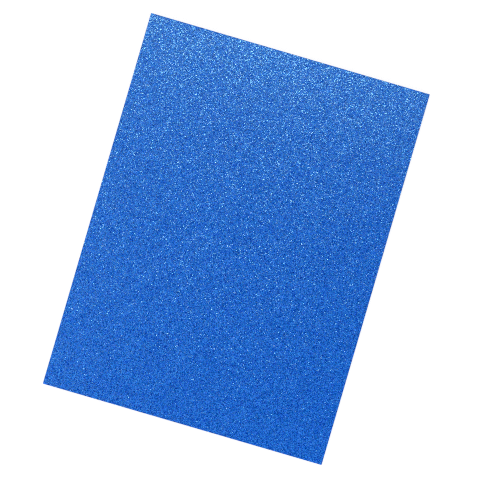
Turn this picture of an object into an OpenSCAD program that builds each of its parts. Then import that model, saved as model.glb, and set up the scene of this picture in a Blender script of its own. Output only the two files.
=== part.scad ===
// Glitter foam sheet: one rectangle of closed-cell craft foam with a glitter face, cut to size with a die.
// It lies flat with the glitter face up. The origin is the middle of the underside,
// +X runs across the width, +Y along the length and +Z up through the thickness. Lengths are in millimetres.

/* [Sheet] */
// Width between the two long cut edges
sheet_w = 229; // [40:0.5:600]
// Length between the two short cut edges
sheet_l = 304.5; // [40:0.5:900]
// Thickness of the foam together with its glitter face
sheet_t = 2; // [1:0.1:12]

/* [Cut edge] */
// Radius of the four corners, seen from above
corner_r = 0.5; // [0.5:0.1:15]
// Radius of the upper rim, where the blade draws the glitter face down as it enters
rim_r = 0.3; // [0.05:0.05:0.5]

/* [Hidden] */
$fn = 48;
foam_blue = "#2a6ac9";
// Each corner is turned about an upright axis that lies this far from the middle of the sheet
corner_x = sheet_w / 2 - corner_r;
corner_y = sheet_l / 2 - corner_r;
// How far the tool that rounds the rim reaches past the edge
tool_reach = 0.1;

// Section of the cut edge, from the corner's axis out to the cut face: square foot, rounded rim
module edge_section() {
    difference() {
        square([corner_r, sheet_t]);
        translate([corner_r - rim_r, sheet_t - rim_r])
            difference() {
                square(rim_r + tool_reach);
                circle(rim_r);
            }
    }
}

// One straight cut edge and the corner at its far end.
// The edge stands off the middle by edge_at and runs for half_run to either side.
module cut_edge(edge_at, half_run) {
    translate([edge_at, half_run, 0]) {
        rotate([90, 0, 0]) linear_extrude(2 * half_run) edge_section();
        rotate_extrude(angle = 90) edge_section();
    }
}

// The whole sheet: the flat middle, framed by the edge section carried round the outline
module foam_sheet() {
    color(foam_blue) {
        translate([-corner_x, -corner_y, 0]) cube([2 * corner_x, 2 * corner_y, sheet_t]);
        for (half_turn = [0, 180])
            rotate(half_turn) {
                cut_edge(corner_x, corner_y);
                rotate(90) cut_edge(corner_y, corner_x);
            }
    }
}

foam_sheet();
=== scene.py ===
# %% [markdown]
# # Glitter foam sheet
# The object is one sheet of soft craft foam, cut to a rectangle, with one face covered in blue glitter. It
# lies flat with the glitter up and is seen from straight above. The CAD frame gives its true size and place,
# so the script starts by loading that frame and never moves it.

# %% Load the frame
import math

import bpy
import numpy as np
from mathutils import Matrix, Vector


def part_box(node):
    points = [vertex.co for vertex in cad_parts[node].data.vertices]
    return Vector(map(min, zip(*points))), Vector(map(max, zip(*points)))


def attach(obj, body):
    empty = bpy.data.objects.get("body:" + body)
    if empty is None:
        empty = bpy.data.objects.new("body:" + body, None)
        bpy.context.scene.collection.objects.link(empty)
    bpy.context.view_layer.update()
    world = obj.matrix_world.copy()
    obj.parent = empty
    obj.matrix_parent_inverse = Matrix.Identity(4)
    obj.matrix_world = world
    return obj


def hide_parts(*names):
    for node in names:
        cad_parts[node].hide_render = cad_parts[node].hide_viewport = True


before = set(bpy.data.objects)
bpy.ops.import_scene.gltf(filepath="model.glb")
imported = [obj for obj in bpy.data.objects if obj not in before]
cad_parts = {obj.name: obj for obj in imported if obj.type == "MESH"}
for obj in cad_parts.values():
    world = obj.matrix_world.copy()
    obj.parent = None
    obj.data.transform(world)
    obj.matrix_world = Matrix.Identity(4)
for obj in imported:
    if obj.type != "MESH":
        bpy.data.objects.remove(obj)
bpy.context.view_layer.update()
MM = 0.001
sheet_low, sheet_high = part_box("foam_sheet")
sheet_w, sheet_l, sheet_t = sheet_high - sheet_low
print(f"sheet {sheet_w / MM:.1f} x {sheet_l / MM:.1f} x {sheet_t / MM:.1f} mm")

# %% [markdown]
# ## Where the grain points go
# Glitter feels like fine sandpaper: thousands of flakes lie in the glue at slightly different heights and
# angles. Bump alone would leave the mesh a plain slab, so the face is a real relief, on a grid as fine as the
# count of triangles allows. A regular grid would show as rows, so each point is pushed sideways by a seeded
# random step. The outermost lines of the grid stay straight, because the sheet was cut with a blade.

# %% Grid of the glitter face
SEED = 7
rng = np.random.default_rng(SEED)
# The blade rounds the upper rim and the four corners by this much
RIM_R = 0.3 * MM
CORNER_R = 0.5 * MM
COLUMNS, ROWS = 260, 345
# Lines on each side of the grid that stay straight
STRAIGHT_LINES = 2
# Flakes stand up to this far below the highest ones
GRAIN_DEPTH = 0.11 * MM
# Sideways step of a point, as a share of the distance between two points
SIDEWAYS = 0.36

corner_x = sheet_w / 2 - CORNER_R
corner_y = sheet_l / 2 - CORNER_R


def grid_lines(half, corner, count):
    """Lines across the face: the first and last at the rim, the others evenly between the corners."""
    inner = np.linspace(-corner, corner, count - 1)
    return np.concatenate([[RIM_R - half], inner, [half - RIM_R]])


xs = grid_lines(sheet_w / 2, corner_x, COLUMNS)
ys = grid_lines(sheet_l / 2, corner_y, ROWS)
pitch = xs[2] - xs[1]
gx, gy = np.meshgrid(xs, ys, indexing="ij")
loose = np.zeros(gx.shape, bool)
loose[STRAIGHT_LINES:-STRAIGHT_LINES, STRAIGHT_LINES:-STRAIGHT_LINES] = True
gx = gx + loose * pitch * SIDEWAYS * rng.uniform(-1, 1, gx.shape)
gy = gy + loose * pitch * SIDEWAYS * rng.uniform(-1, 1, gy.shape)
gz = sheet_t - GRAIN_DEPTH * rng.uniform(0, 1, gx.shape)
print(f"glitter face: {COLUMNS} x {ROWS} cells, {pitch / MM:.2f} mm apart")

# %% [markdown]
# ## The cut edge
# A die blade pulls the glitter down a little as it enters, then leaves a straight cut through the foam. That
# is a profile carried round the outline. A bevel modifier could round the rim, but it would cut into the
# grain, so the edge is a stack of rings. Each ring has one point for each point on the border of the grid, so
# neighbouring rings join with plain quads and the mesh stays closed.


# %% Rings round the outline
def border(columns, rows):
    """Grid places of the border, once round, counter-clockwise from the near left corner."""
    near = [(i, 0) for i in range(columns)]
    right = [(columns, j) for j in range(rows)]
    far = [(i, rows) for i in range(columns, 0, -1)]
    left = [(0, j) for j in range(rows, 0, -1)]
    return np.array(near + right + far + left)


round_trip = border(COLUMNS, ROWS)
line_x, line_y = xs[round_trip[:, 0]], ys[round_trip[:, 1]]


def ring(inset, height):
    """The outline at an inset from the cut face, with one point halfway round each corner's arc."""
    x = np.where(np.abs(line_x) > corner_x, np.sign(line_x) * (sheet_w / 2 - inset), line_x)
    y = np.where(np.abs(line_y) > corner_y, np.sign(line_y) * (sheet_l / 2 - inset), line_y)
    at_corner = (np.abs(x) > corner_x) & (np.abs(y) > corner_y)
    slant = (CORNER_R - inset) * math.sqrt(0.5)
    x[at_corner] = np.sign(x[at_corner]) * (corner_x + slant)
    y[at_corner] = np.sign(y[at_corner]) * (corner_y + slant)
    return np.stack([x, y, np.full(len(x), height)], 1)


# The foam gives under the blade, so the cut wavers inwards by up to this much
ROUGH_CUT = 0.03 * MM
RIM_TURN = math.radians(45)
# Heights of the rings on the cut face, as shares of it
CUT_STEPS = np.array([1, 0.7, 0.35, 0])
rim_ring = ring(RIM_R * (1 - math.sin(RIM_TURN)), sheet_t - RIM_R * (1 - math.cos(RIM_TURN)))
cut_rings = [ring(0, step * (sheet_t - RIM_R)) for step in CUT_STEPS]
for one_ring in [rim_ring, *cut_rings[:-1]]:
    inwards = rng.uniform(0, ROUGH_CUT, len(one_ring))[:, None]
    one_ring[:, :2] *= 1 - inwards / np.linalg.norm(one_ring[:, :2], axis=1)[:, None]
top_ring = ring(RIM_R, sheet_t)
gx[tuple(round_trip.T)] = top_ring[:, 0]
gy[tuple(round_trip.T)] = top_ring[:, 1]
print(f"edge: {len(cut_rings) + 1} rings of {len(round_trip)} points under the face")

# %% [markdown]
# ## One closed mesh
# Each cell of the grid is split along a diagonal picked at random, so every triangle is a small facet with
# its own tilt. The rings close the sides and one flat face closes the back. The mesh is flat-shaded: a flake
# is flat, and smooth shading would blur the facets into waves.

# %% Facets and bands
EVEN_CHANCE = 0.5
face_id = np.arange(gx.size).reshape(gx.shape)
near_left = face_id[:-1, :-1].ravel()
near_right = face_id[1:, :-1].ravel()
far_right = face_id[1:, 1:].ravel()
far_left = face_id[:-1, 1:].ravel()
flip = (rng.random(face_id[1:, 1:].size) < EVEN_CHANCE)[:, None]
falling = [np.stack([near_left, near_right, far_left], 1), np.stack([near_right, far_right, far_left], 1)]
rising = [np.stack([near_left, near_right, far_right], 1), np.stack([near_left, far_right, far_left], 1)]
facets = np.concatenate([np.where(flip, one, other) for one, other in zip(falling, rising)])

layers = [np.stack([gx.ravel(), gy.ravel(), gz.ravel()], 1), rim_ring, *cut_rings]
starts = np.cumsum([0] + [len(layer) for layer in layers])
loops = [face_id[tuple(round_trip.T)]]
loops += [np.arange(start, start + len(round_trip)) for start in starts[1:-1]]
bands = []
for upper, lower in zip(loops, loops[1:]):
    bands.append(np.stack([lower, np.roll(lower, -1), np.roll(upper, -1), upper], 1))
print(f"{len(facets)} facets, {len(bands)} bands round the edge")

# %% Build the sheet
points = np.concatenate(layers)
back = loops[-1][::-1]
faces = facets.tolist() + np.concatenate(bands).tolist() + [back.tolist()]
mesh = bpy.data.meshes.new("glitter_foam_sheet")
mesh.from_pydata(points.tolist(), [], faces)
mesh.update()
sheet = bpy.data.objects.new("glitter_foam_sheet", mesh)
bpy.context.collection.objects.link(sheet)
triangles = sum(len(p.vertices) - 2 for p in mesh.polygons)
print(f"mesh: {len(mesh.vertices)} points, {triangles} triangles")

# %% [markdown]
# ## A flat map for the textures
# Whoever takes the model into another program needs a map from the surface to a picture. Smart projection
# would break the face into islands. It is flat, so a straight projection from above fits it best, and it
# takes most of the picture. The back is smaller beside it, and the four cut sides are narrow strips between
# the two.

# %% Sort the corners of all faces
# The glitter goes over the rim: two bands of the edge belong to it
RIM_BANDS = 2
glitter_faces = len(facets) + RIM_BANDS * len(round_trip)
point_of = np.empty(len(mesh.loops), np.int64)
mesh.loops.foreach_get("vertex_index", point_of)
places = points[point_of]
face_of = np.repeat(np.arange(len(mesh.polygons)), [len(p.vertices) for p in mesh.polygons])
on_face = face_of < glitter_faces
on_back = face_of == len(mesh.polygons) - 1
on_cut = ~on_face & ~on_back
print(f"face corners: {on_face.sum()} glitter, {on_cut.sum()} cut, {on_back.sum()} back")

# %% Lay out the map
# Lengths on the map are shares of its side
MAP_EDGE = 0.006
STRIP_WIDTH = 0.008
STRIP_STEP = 0.012
SIDES = 4
half_size = np.array([sheet_w, sheet_l]) / 2
face_scale = (1 - 2 * MAP_EDGE) / sheet_l
strips_left = MAP_EDGE + sheet_w * face_scale + STRIP_STEP / 2
back_left = strips_left + SIDES * STRIP_STEP + STRIP_STEP / 2
back_scale = (1 - MAP_EDGE - back_left) / sheet_w
uv = np.empty((len(mesh.loops), 2))
uv[on_face] = MAP_EDGE + (places[on_face, :2] + half_size) * face_scale
uv[on_back] = [back_left, MAP_EDGE] + (places[on_back, :2] * [-1, 1] + half_size) * back_scale
place_in_band = (face_of[on_cut] - len(facets)) % len(round_trip)
side_ends = np.cumsum([COLUMNS, ROWS, COLUMNS, ROWS])
side = np.searchsorted(side_ends, place_in_band, side="right")
along = np.where(side % 2 == 0, places[on_cut, 0] + half_size[0], places[on_cut, 1] + half_size[1])
uv[on_cut, 0] = strips_left + STRIP_STEP * side + STRIP_WIDTH * places[on_cut, 2] / sheet_t
uv[on_cut, 1] = MAP_EDGE + along * face_scale
mesh.uv_layers.new(name="OFBake").data.foreach_set("uv", uv.ravel())
print(f"map: the face takes {sheet_w * sheet_l * face_scale**2:.0%} of it")

# %% [markdown]
# ## Colours and nodes
# Colours are written as sRGB hex values, as a colour picker shows them, and one function turns them into the
# linear values that a shader uses. One helper adds any node with its settings, values and links.


# %% Colour and node helpers
def linear(hex_colour):
    """A hex colour such as #2a6ac9 as linear red, green, blue and alpha."""
    parts = [int(hex_colour[i : i + 2], 16) / 255 for i in (1, 3, 5)]
    return [p / 12.92 if p <= 0.04045 else ((p + 0.055) / 1.055) ** 2.4 for p in parts] + [1]


def add(tree, kind, settings=None, values=None, links=None):
    """A new node: its settings, the values of its sockets, and what is linked into them."""
    node = tree.nodes.new(kind)
    for name, value in (settings or {}).items():
        setattr(node, name, value)
    for name, value in (values or {}).items():
        node.inputs[name].default_value = value
    for name, source in (links or {}).items():
        tree.links.new(source, node.inputs[name])
    return node


def empty_material(name):
    """A material with no nodes yet, and its node tree."""
    material = bpy.data.materials.new(name)
    material.use_nodes = True
    material.node_tree.nodes.clear()
    return material, material.node_tree


print(f"middle grey #808080 is {linear('#808080')[0]:.3f} in linear light")

# %% [markdown]
# ## Glitter: the colour of the flakes
# Craft glitter is polyester film with a thin layer of aluminium and a blue lacquer, die-cut into flakes and
# scattered into clear glue. The eye sees flakes from navy to pale blue, by how each one lies to the light.
# One object for each flake would be about 400,000 pieces, so a Voronoi texture draws them: each of its cells
# is a flake with a random colour from navy to pale blue. That spread is painted light and shade: it puts into
# the colour how a flake lies to the light, at random and apart from the lean that the shader gives it. A
# flake is about 0.4 mm wide, and a pixel covers three or four of them. A second pattern turns the hue a
# little either way, because flakes of one packet differ a little in dye.

# %% Flake colours
FLAKE = 0.42 * MM
# From navy to pale blue: painted light and shade, given to each flake at random
FLAKE_BLUES_PAINTED_LIGHT_AND_SHADE = [(0, "#003084"), (0.3, "#034cb9"), (0.6, "#176be1"), (1, "#4091fc")]
glitter, tree = empty_material("die_cut_polyester_glitter_in_clear_glue")
spot = add(tree, "ShaderNodeTexCoord")
flakes = add(
    tree,
    "ShaderNodeTexVoronoi",
    {"voronoi_dimensions": "2D", "feature": "F1"},
    {"Scale": 1 / FLAKE},
    {"Vector": spot.outputs["Object"]},
)
flake_chance = add(tree, "ShaderNodeSeparateColor", links={"Color": flakes.outputs["Color"]})
blue = add(tree, "ShaderNodeValToRGB", links={"Fac": flake_chance.outputs["Blue"]})
for place, _ in FLAKE_BLUES_PAINTED_LIGHT_AND_SHADE[1:-1]:
    blue.color_ramp.elements.new(place)
for stop, (_, colour) in zip(blue.color_ramp.elements, FLAKE_BLUES_PAINTED_LIGHT_AND_SHADE):
    stop.color = linear(colour)
print(f"flakes of {FLAKE / MM:.2f} mm, about {sheet_w * sheet_l / FLAKE**2:.0f} on the sheet")

# %% Hue of the flakes
SHADE_PATCH = 0.5 * MM
# Turn of the hue either way, as a share of the whole colour circle; 0.5 on the node's socket is no turn
HUE_SPREAD = 0.012
NO_TURN = 0.5
patches = add(
    tree,
    "ShaderNodeTexVoronoi",
    {"voronoi_dimensions": "2D", "feature": "F1"},
    {"Scale": 1 / SHADE_PATCH},
    {"Vector": spot.outputs["Object"]},
)
patch_chance = add(tree, "ShaderNodeSeparateColor", links={"Color": patches.outputs["Color"]})
hue = add(
    tree,
    "ShaderNodeMapRange",
    values={"To Min": NO_TURN - HUE_SPREAD, "To Max": NO_TURN + HUE_SPREAD},
    links={"Value": patch_chance.outputs["Red"]},
)
dyed_with_painted_shade = add(
    tree,
    "ShaderNodeHueSaturation",
    links={"Color": blue.outputs["Color"], "Hue": hue.outputs["Result"]},
)
print(f"hue turns by up to {math.degrees(HUE_SPREAD * math.tau):.1f} degrees either way")

# %% [markdown]
# ## Glitter: how the flakes lie
# Most flakes settle almost flat in the glue, and a few stand up. Those few catch lamps that the others don't
# see, and that is the sparkle. So each flake's random numbers, from -1 to 1, are raised to the third power,
# which keeps most of them near 0, and lean the normal of the facet under it. The power is made by
# multiplying, because it has to keep the sign.

# %% Lean of the flakes
# Sideways lean of the steepest flakes, against 1 for upright
FLAKE_LEAN = 0.3
either_way = add(
    tree,
    "ShaderNodeVectorMath",
    {"operation": "MULTIPLY_ADD"},
    {1: (2, 2, 0), 2: (-1, -1, 0)},
    {0: flakes.outputs["Color"]},
)
second_power = add(
    tree,
    "ShaderNodeVectorMath",
    {"operation": "MULTIPLY"},
    links={0: either_way.outputs["Vector"], 1: either_way.outputs["Vector"]},
)
third_power = add(
    tree,
    "ShaderNodeVectorMath",
    {"operation": "MULTIPLY"},
    links={0: second_power.outputs["Vector"], 1: either_way.outputs["Vector"]},
)
facet = add(tree, "ShaderNodeNewGeometry")
leaning = add(
    tree,
    "ShaderNodeVectorMath",
    {"operation": "MULTIPLY_ADD"},
    {1: (FLAKE_LEAN, FLAKE_LEAN, 0)},
    {0: third_power.outputs["Vector"], 2: facet.outputs["Normal"]},
)
facing = add(
    tree,
    "ShaderNodeVectorMath",
    {"operation": "NORMALIZE"},
    links={0: leaning.outputs["Vector"]},
)
print(f"steepest flakes lean by {math.degrees(math.atan(FLAKE_LEAN)):.0f} degrees along each axis")

# %% [markdown]
# ## Glitter: the gloss
# A metal shader would tint every glint deep blue, but the glints on the real sheet are pale aqua to white:
# light comes off the clear lacquer and the glue before it reaches the dyed metal. So the flakes are a dyed
# body under a strong gloss, tinted aqua, with polyester's refraction. It is smooth, so that a flake that
# faces a lamp flashes and its neighbour stays dark. Under a drop of glue, some flakes have a second gloss,
# which is white.

# %% Glitter shader
GLUE_SHARE = 0.12
glue_drops = add(
    tree,
    "ShaderNodeMath",
    {"operation": "GREATER_THAN"},
    {1: 1 - GLUE_SHARE},
    {0: patch_chance.outputs["Green"]},
)
shader = add(
    tree,
    "ShaderNodeBsdfPrincipled",
    values={
        "Roughness": 0.1,
        "IOR": 1.58,
        "Specular IOR Level": 0.8,
        "Specular Tint": linear("#a2eefa"),
        "Coat Roughness": 0.1,
        "Coat IOR": 1.5,
    },
    links={
        "Base Color": dyed_with_painted_shade.outputs["Color"],
        "Normal": facing.outputs["Vector"],
        "Coat Weight": glue_drops.outputs["Value"],
        "Coat Normal": facing.outputs["Vector"],
    },
)
add(tree, "ShaderNodeOutputMaterial", links={"Surface": shader.outputs["BSDF"]})
print(f"glitter shader: {len(tree.nodes)} nodes")

# %% [markdown]
# ## Foam: closed-cell EVA, split and knife-cut
# The body is EVA foam, dyed through, split from a block and cut with a blade. It is matt and a little chalky,
# and the cut opens its cells: tiny cups between walls, painted darker than the walls as painted shade in the
# hollows. The real cells are about 0.1 mm wide. They are drawn coarser here, because at that size they would
# not show. A soft cloudiness some millimetres wide is what the splitting knife leaves on the back.

# %% Foam cells and clouds
CELL = 0.25 * MM
CLOUD = 5 * MM
CLOUD_DEPTH = 0.12
foam, tree = empty_material("knife_cut_closed_cell_eva_foam")
spot = add(tree, "ShaderNodeTexCoord")
cells = add(
    tree,
    "ShaderNodeTexVoronoi",
    {"voronoi_dimensions": "3D", "feature": "F1"},
    {"Scale": 1 / CELL},
    {"Vector": spot.outputs["Object"]},
)
# Dark cups and paler walls: painted shade in the hollows of the cells
painted_cup_shade_to_wall = add(tree, "ShaderNodeValToRGB", links={"Fac": cells.outputs["Distance"]})
painted_cup_shade_to_wall.color_ramp.elements[0].color = linear("#1a4da4")
painted_cup_shade_to_wall.color_ramp.elements[1].color = linear("#3672cc")
clouds = add(
    tree,
    "ShaderNodeTexNoise",
    values={"Scale": 1 / CLOUD, "Detail": 3},
    links={"Vector": spot.outputs["Object"]},
)
cloud_level = add(
    tree,
    "ShaderNodeMapRange",
    values={"To Min": 1 - CLOUD_DEPTH, "To Max": 1 + CLOUD_DEPTH},
    links={"Value": clouds.outputs["Fac"]},
)
cloudy_with_cup_shade = add(
    tree,
    "ShaderNodeHueSaturation",
    links={"Color": painted_cup_shade_to_wall.outputs["Color"], "Value": cloud_level.outputs["Result"]},
)
print(f"foam: cells of {CELL / MM:.2f} mm, clouds of {CLOUD / MM:.0f} mm")

# %% Foam shader
CUP_DEPTH = 0.06 * MM
cups = add(
    tree,
    "ShaderNodeBump",
    values={"Strength": 0.6, "Distance": CUP_DEPTH},
    links={"Height": cells.outputs["Distance"]},
)
shader = add(
    tree,
    "ShaderNodeBsdfPrincipled",
    values={"Roughness": 0.75, "IOR": 1.48},
    links={"Base Color": cloudy_with_cup_shade.outputs["Color"], "Normal": cups.outputs["Normal"]},
)
add(tree, "ShaderNodeOutputMaterial", links={"Surface": shader.outputs["BSDF"]})
print(f"foam shader: {len(tree.nodes)} nodes")

# %% [markdown]
# ## Join the sheet to the frame
# The mesh gets glitter on the face and the rim, and foam everywhere else. It stands for the CAD solid and
# rides on its one body. It is a sheet that lies flat on the floor, cut to the size that the frame gives.

# %% Materials and frame calls
mesh.materials.append(glitter)
mesh.materials.append(foam)
is_foam = np.arange(len(mesh.polygons)) >= glitter_faces
mesh.polygons.foreach_set("material_index", is_foam.astype(np.int32))
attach(sheet, "root")
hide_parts("foam_sheet")
print(f"{(~is_foam).sum()} faces of glitter, {is_foam.sum()} of foam")

# %% [markdown]
# ## Camera
# The picture looks straight down with a long lens: the sheet's opposite edges stay parallel and its corners
# square. The sheet is turned a little clockwise in the picture, so the camera is turned the other way. Its
# distance follows from the width of the sheet in pixels.

# %% Camera
PICTURE_PX = 480
SHEET_WIDTH_PX = 290.6
SHEET_CENTRE_PX = (236.31, 238.97)
TURN = math.radians(16.29)
LENS = 100
SENSOR = 36
pixel = sheet_w / SHEET_WIDTH_PX
right = Vector((math.cos(TURN), math.sin(TURN), 0))
up = Vector((-math.sin(TURN), math.cos(TURN), 0))
aim = right * (PICTURE_PX / 2 - SHEET_CENTRE_PX[0]) * pixel
aim -= up * (PICTURE_PX / 2 - SHEET_CENTRE_PX[1]) * pixel
distance = PICTURE_PX * pixel * LENS / SENSOR
camera = bpy.data.objects.new("camera", bpy.data.cameras.new("camera"))
camera.data.lens = LENS
camera.data.sensor_width = SENSOR
camera.location = aim + Vector((0, 0, sheet_t + distance))
camera.rotation_euler = (0, 0, TURN)
bpy.context.collection.objects.link(camera)
bpy.context.scene.camera = camera
print(f"camera {distance:.3f} m above the sheet, a pixel is {pixel / MM:.2f} mm")

# %% [markdown]
# ## Floor
# The sheet lies on wide matt paper that looks white. More light would make the paper white but wash out the
# glitter. So the paper is grey under the lamps, which keeps a soft shadow along the edges, and glows for rays
# that come from the camera, a glossy surface or glass. It glows more far from the sheet, where the lamps are
# weak.

# %% Floor
FLOOR_SIDE = 30
# A hair below the sheet, so that the two faces don't share one plane
FLOOR_DROP = 0.02 * MM
reach = FLOOR_SIDE / 2
floor_mesh = bpy.data.meshes.new("floor")
floor_corners = [(-reach, -reach, 0), (reach, -reach, 0), (reach, reach, 0), (-reach, reach, 0)]
floor_mesh.from_pydata(floor_corners, [], [(0, 1, 2, 3)])
floor = bpy.data.objects.new("floor", floor_mesh)
floor.location.z = -FLOOR_DROP
bpy.context.collection.objects.link(floor)
print(f"floor {FLOOR_SIDE} m wide, {FLOOR_DROP / MM:.2f} mm under the sheet")

# %% Glow of the paper
GLOW_NEAR, GLOW_FAR = 0.75, 1.0
# Distances from the middle of the sheet, in metres, between which the glow rises
NEAR, FAR = 0.25, 1.1
paper, tree = empty_material("matt_uncoated_paper")
path = add(tree, "ShaderNodeLightPath")
camera_or_glossy = add(
    tree,
    "ShaderNodeMath",
    {"operation": "MAXIMUM"},
    links={0: path.outputs["Is Camera Ray"], 1: path.outputs["Is Glossy Ray"]},
)
seen = add(
    tree,
    "ShaderNodeMath",
    {"operation": "MAXIMUM"},
    links={0: camera_or_glossy.outputs["Value"], 1: path.outputs["Is Transmission Ray"]},
)
spot = add(tree, "ShaderNodeTexCoord")
away = add(tree, "ShaderNodeVectorMath", {"operation": "LENGTH"}, links={0: spot.outputs["Object"]})
glow_level = add(
    tree,
    "ShaderNodeMapRange",
    values={"From Min": NEAR, "From Max": FAR, "To Min": GLOW_NEAR, "To Max": GLOW_FAR},
    links={"Value": away.outputs["Value"]},
)
glow_seen = add(
    tree,
    "ShaderNodeMath",
    {"operation": "MULTIPLY"},
    links={0: seen.outputs["Value"], 1: glow_level.outputs["Result"]},
)
print(f"paper glows at {GLOW_NEAR} near the sheet and {GLOW_FAR} far off")

# %% Paper shader
matt = add(tree, "ShaderNodeBsdfDiffuse", values={"Color": linear("#a0a0a0")})
glow = add(tree, "ShaderNodeEmission", links={"Strength": glow_seen.outputs["Value"]})
both = add(tree, "ShaderNodeAddShader", links={0: matt.outputs["BSDF"], 1: glow.outputs["Emission"]})
add(tree, "ShaderNodeOutputMaterial", links={"Surface": both.outputs["Shader"]})
floor_mesh.materials.append(paper)
print(f"paper shader: {len(tree.nodes)} nodes")

# %% [markdown]
# ## Light
# Flakes are small mirrors, so what stands overhead is what the glitter shows. The room is dark overhead,
# which keeps the blue deep, and white only near the horizon, where a low camera looks. Large soft lamps at
# the four corners light the whole sheet. Past the far edge, a thin tube gives the sharp glints of that edge,
# and a wide window and a skylight give their soft veil, so both fade towards the near edge. A panel on the
# left makes that side a little paler. The two near lamps are kept out of reflections: they stand low, and to
# a camera on the far side the glitter would mirror them as one white blaze.

# %% Dark room with a white horizon
HORIZON, OVERHEAD = 1.0, 0.012
# Height of the sky direction, 0 at the horizon and 1 overhead, between which the white fades out
FADE_FROM, FADE_TO = 0.13, 0.25
world = bpy.data.worlds.new("dark_studio")
world.use_nodes = True
bpy.context.scene.world = world
tree = world.node_tree
background = tree.nodes["Background"]
background.inputs["Color"].default_value = linear("#ffffff")
sky = add(tree, "ShaderNodeTexCoord")
sky_height = add(tree, "ShaderNodeSeparateXYZ", links={"Vector": sky.outputs["Generated"]})
sky_level = add(
    tree,
    "ShaderNodeMapRange",
    values={"From Min": FADE_FROM, "From Max": FADE_TO, "To Min": HORIZON, "To Max": OVERHEAD},
    links={"Value": sky_height.outputs["Z"]},
)
tree.links.new(sky_level.outputs["Result"], background.inputs["Strength"])
print(f"sky {HORIZON} at the horizon, {OVERHEAD} overhead")


# %% Lamps
def softbox(name, wide, high, power, place):
    """A lamp that faces the middle of the sheet and stands square to it."""
    lamp = bpy.data.lights.new(name, "AREA")
    lamp.shape = "RECTANGLE"
    lamp.size = wide
    lamp.size_y = high
    lamp.energy = power
    away_from_sheet = Vector(place).normalized()
    sideways = Vector((0, 1, 0)).cross(away_from_sheet).normalized()
    upwards = away_from_sheet.cross(sideways)
    lamp_object = bpy.data.objects.new(name, lamp)
    lamp_object.location = place
    lamp_object.rotation_euler = Matrix((sideways, upwards, away_from_sheet)).transposed().to_euler()
    bpy.context.collection.objects.link(lamp_object)


# Name, width and height in metres, power in watts, place in metres from the middle of the sheet
lamps = [
    ("tube", 0.72, 0.03, 1.25, (-0.17, 0.34, 0.75)),
    ("window", 1.0, 0.5, 1.8, (0, 0.49, 0.76)),
    ("skylight", 1.0, 0.2, 0.27, (0, 0.27, 0.85)),
    ("left_panel", 0.5, 0.8, 1.5, (-0.5, -0.12, 0.75)),
    ("near_left", 0.6, 0.4, 2.4, (-0.45, -0.5, 0.27)),
    ("near_right", 0.6, 0.4, 2.9, (0.45, -0.5, 0.27)),
    ("far_left", 0.45, 0.45, 0.5, (-0.6, 0.6, 0.62)),
    ("far_right", 0.45, 0.45, 1.6, (0.6, 0.6, 0.62)),
]
lamp_level = 0
for name, wide, high, power, place in lamps:
    softbox(name, wide, high, power, place)
    lamp_distance = Vector(place).length
    lamp_level += power * (place[2] / lamp_distance) / (math.pi * lamp_distance) ** 2
# The near lamps light the sheet but aren't mirrored in it
for name in ("near_left", "near_right"):
    bpy.data.objects[name].visible_glossy = False
print(f"{len(lamps)} lamps, which light a white sheet to about {lamp_level:.2f} of white")

# %% [markdown]
# ## Finish
# The view transform is Standard, so that a colour renders as it is written. The grain is finer than a pixel,
# and a denoiser would take it for noise and smear it, so denoising is off. For the same reason each pixel
# gathers light from a slightly smaller spot than usual, which keeps flakes and edges crisp.

# %% Finish
# Width of the spot that a pixel gathers light from, in pixels
PIXEL_SPOT = 1.2
bpy.context.scene.view_settings.view_transform = "Standard"
bpy.context.scene.cycles.use_denoising = False
bpy.context.scene.cycles.filter_width = PIXEL_SPOT
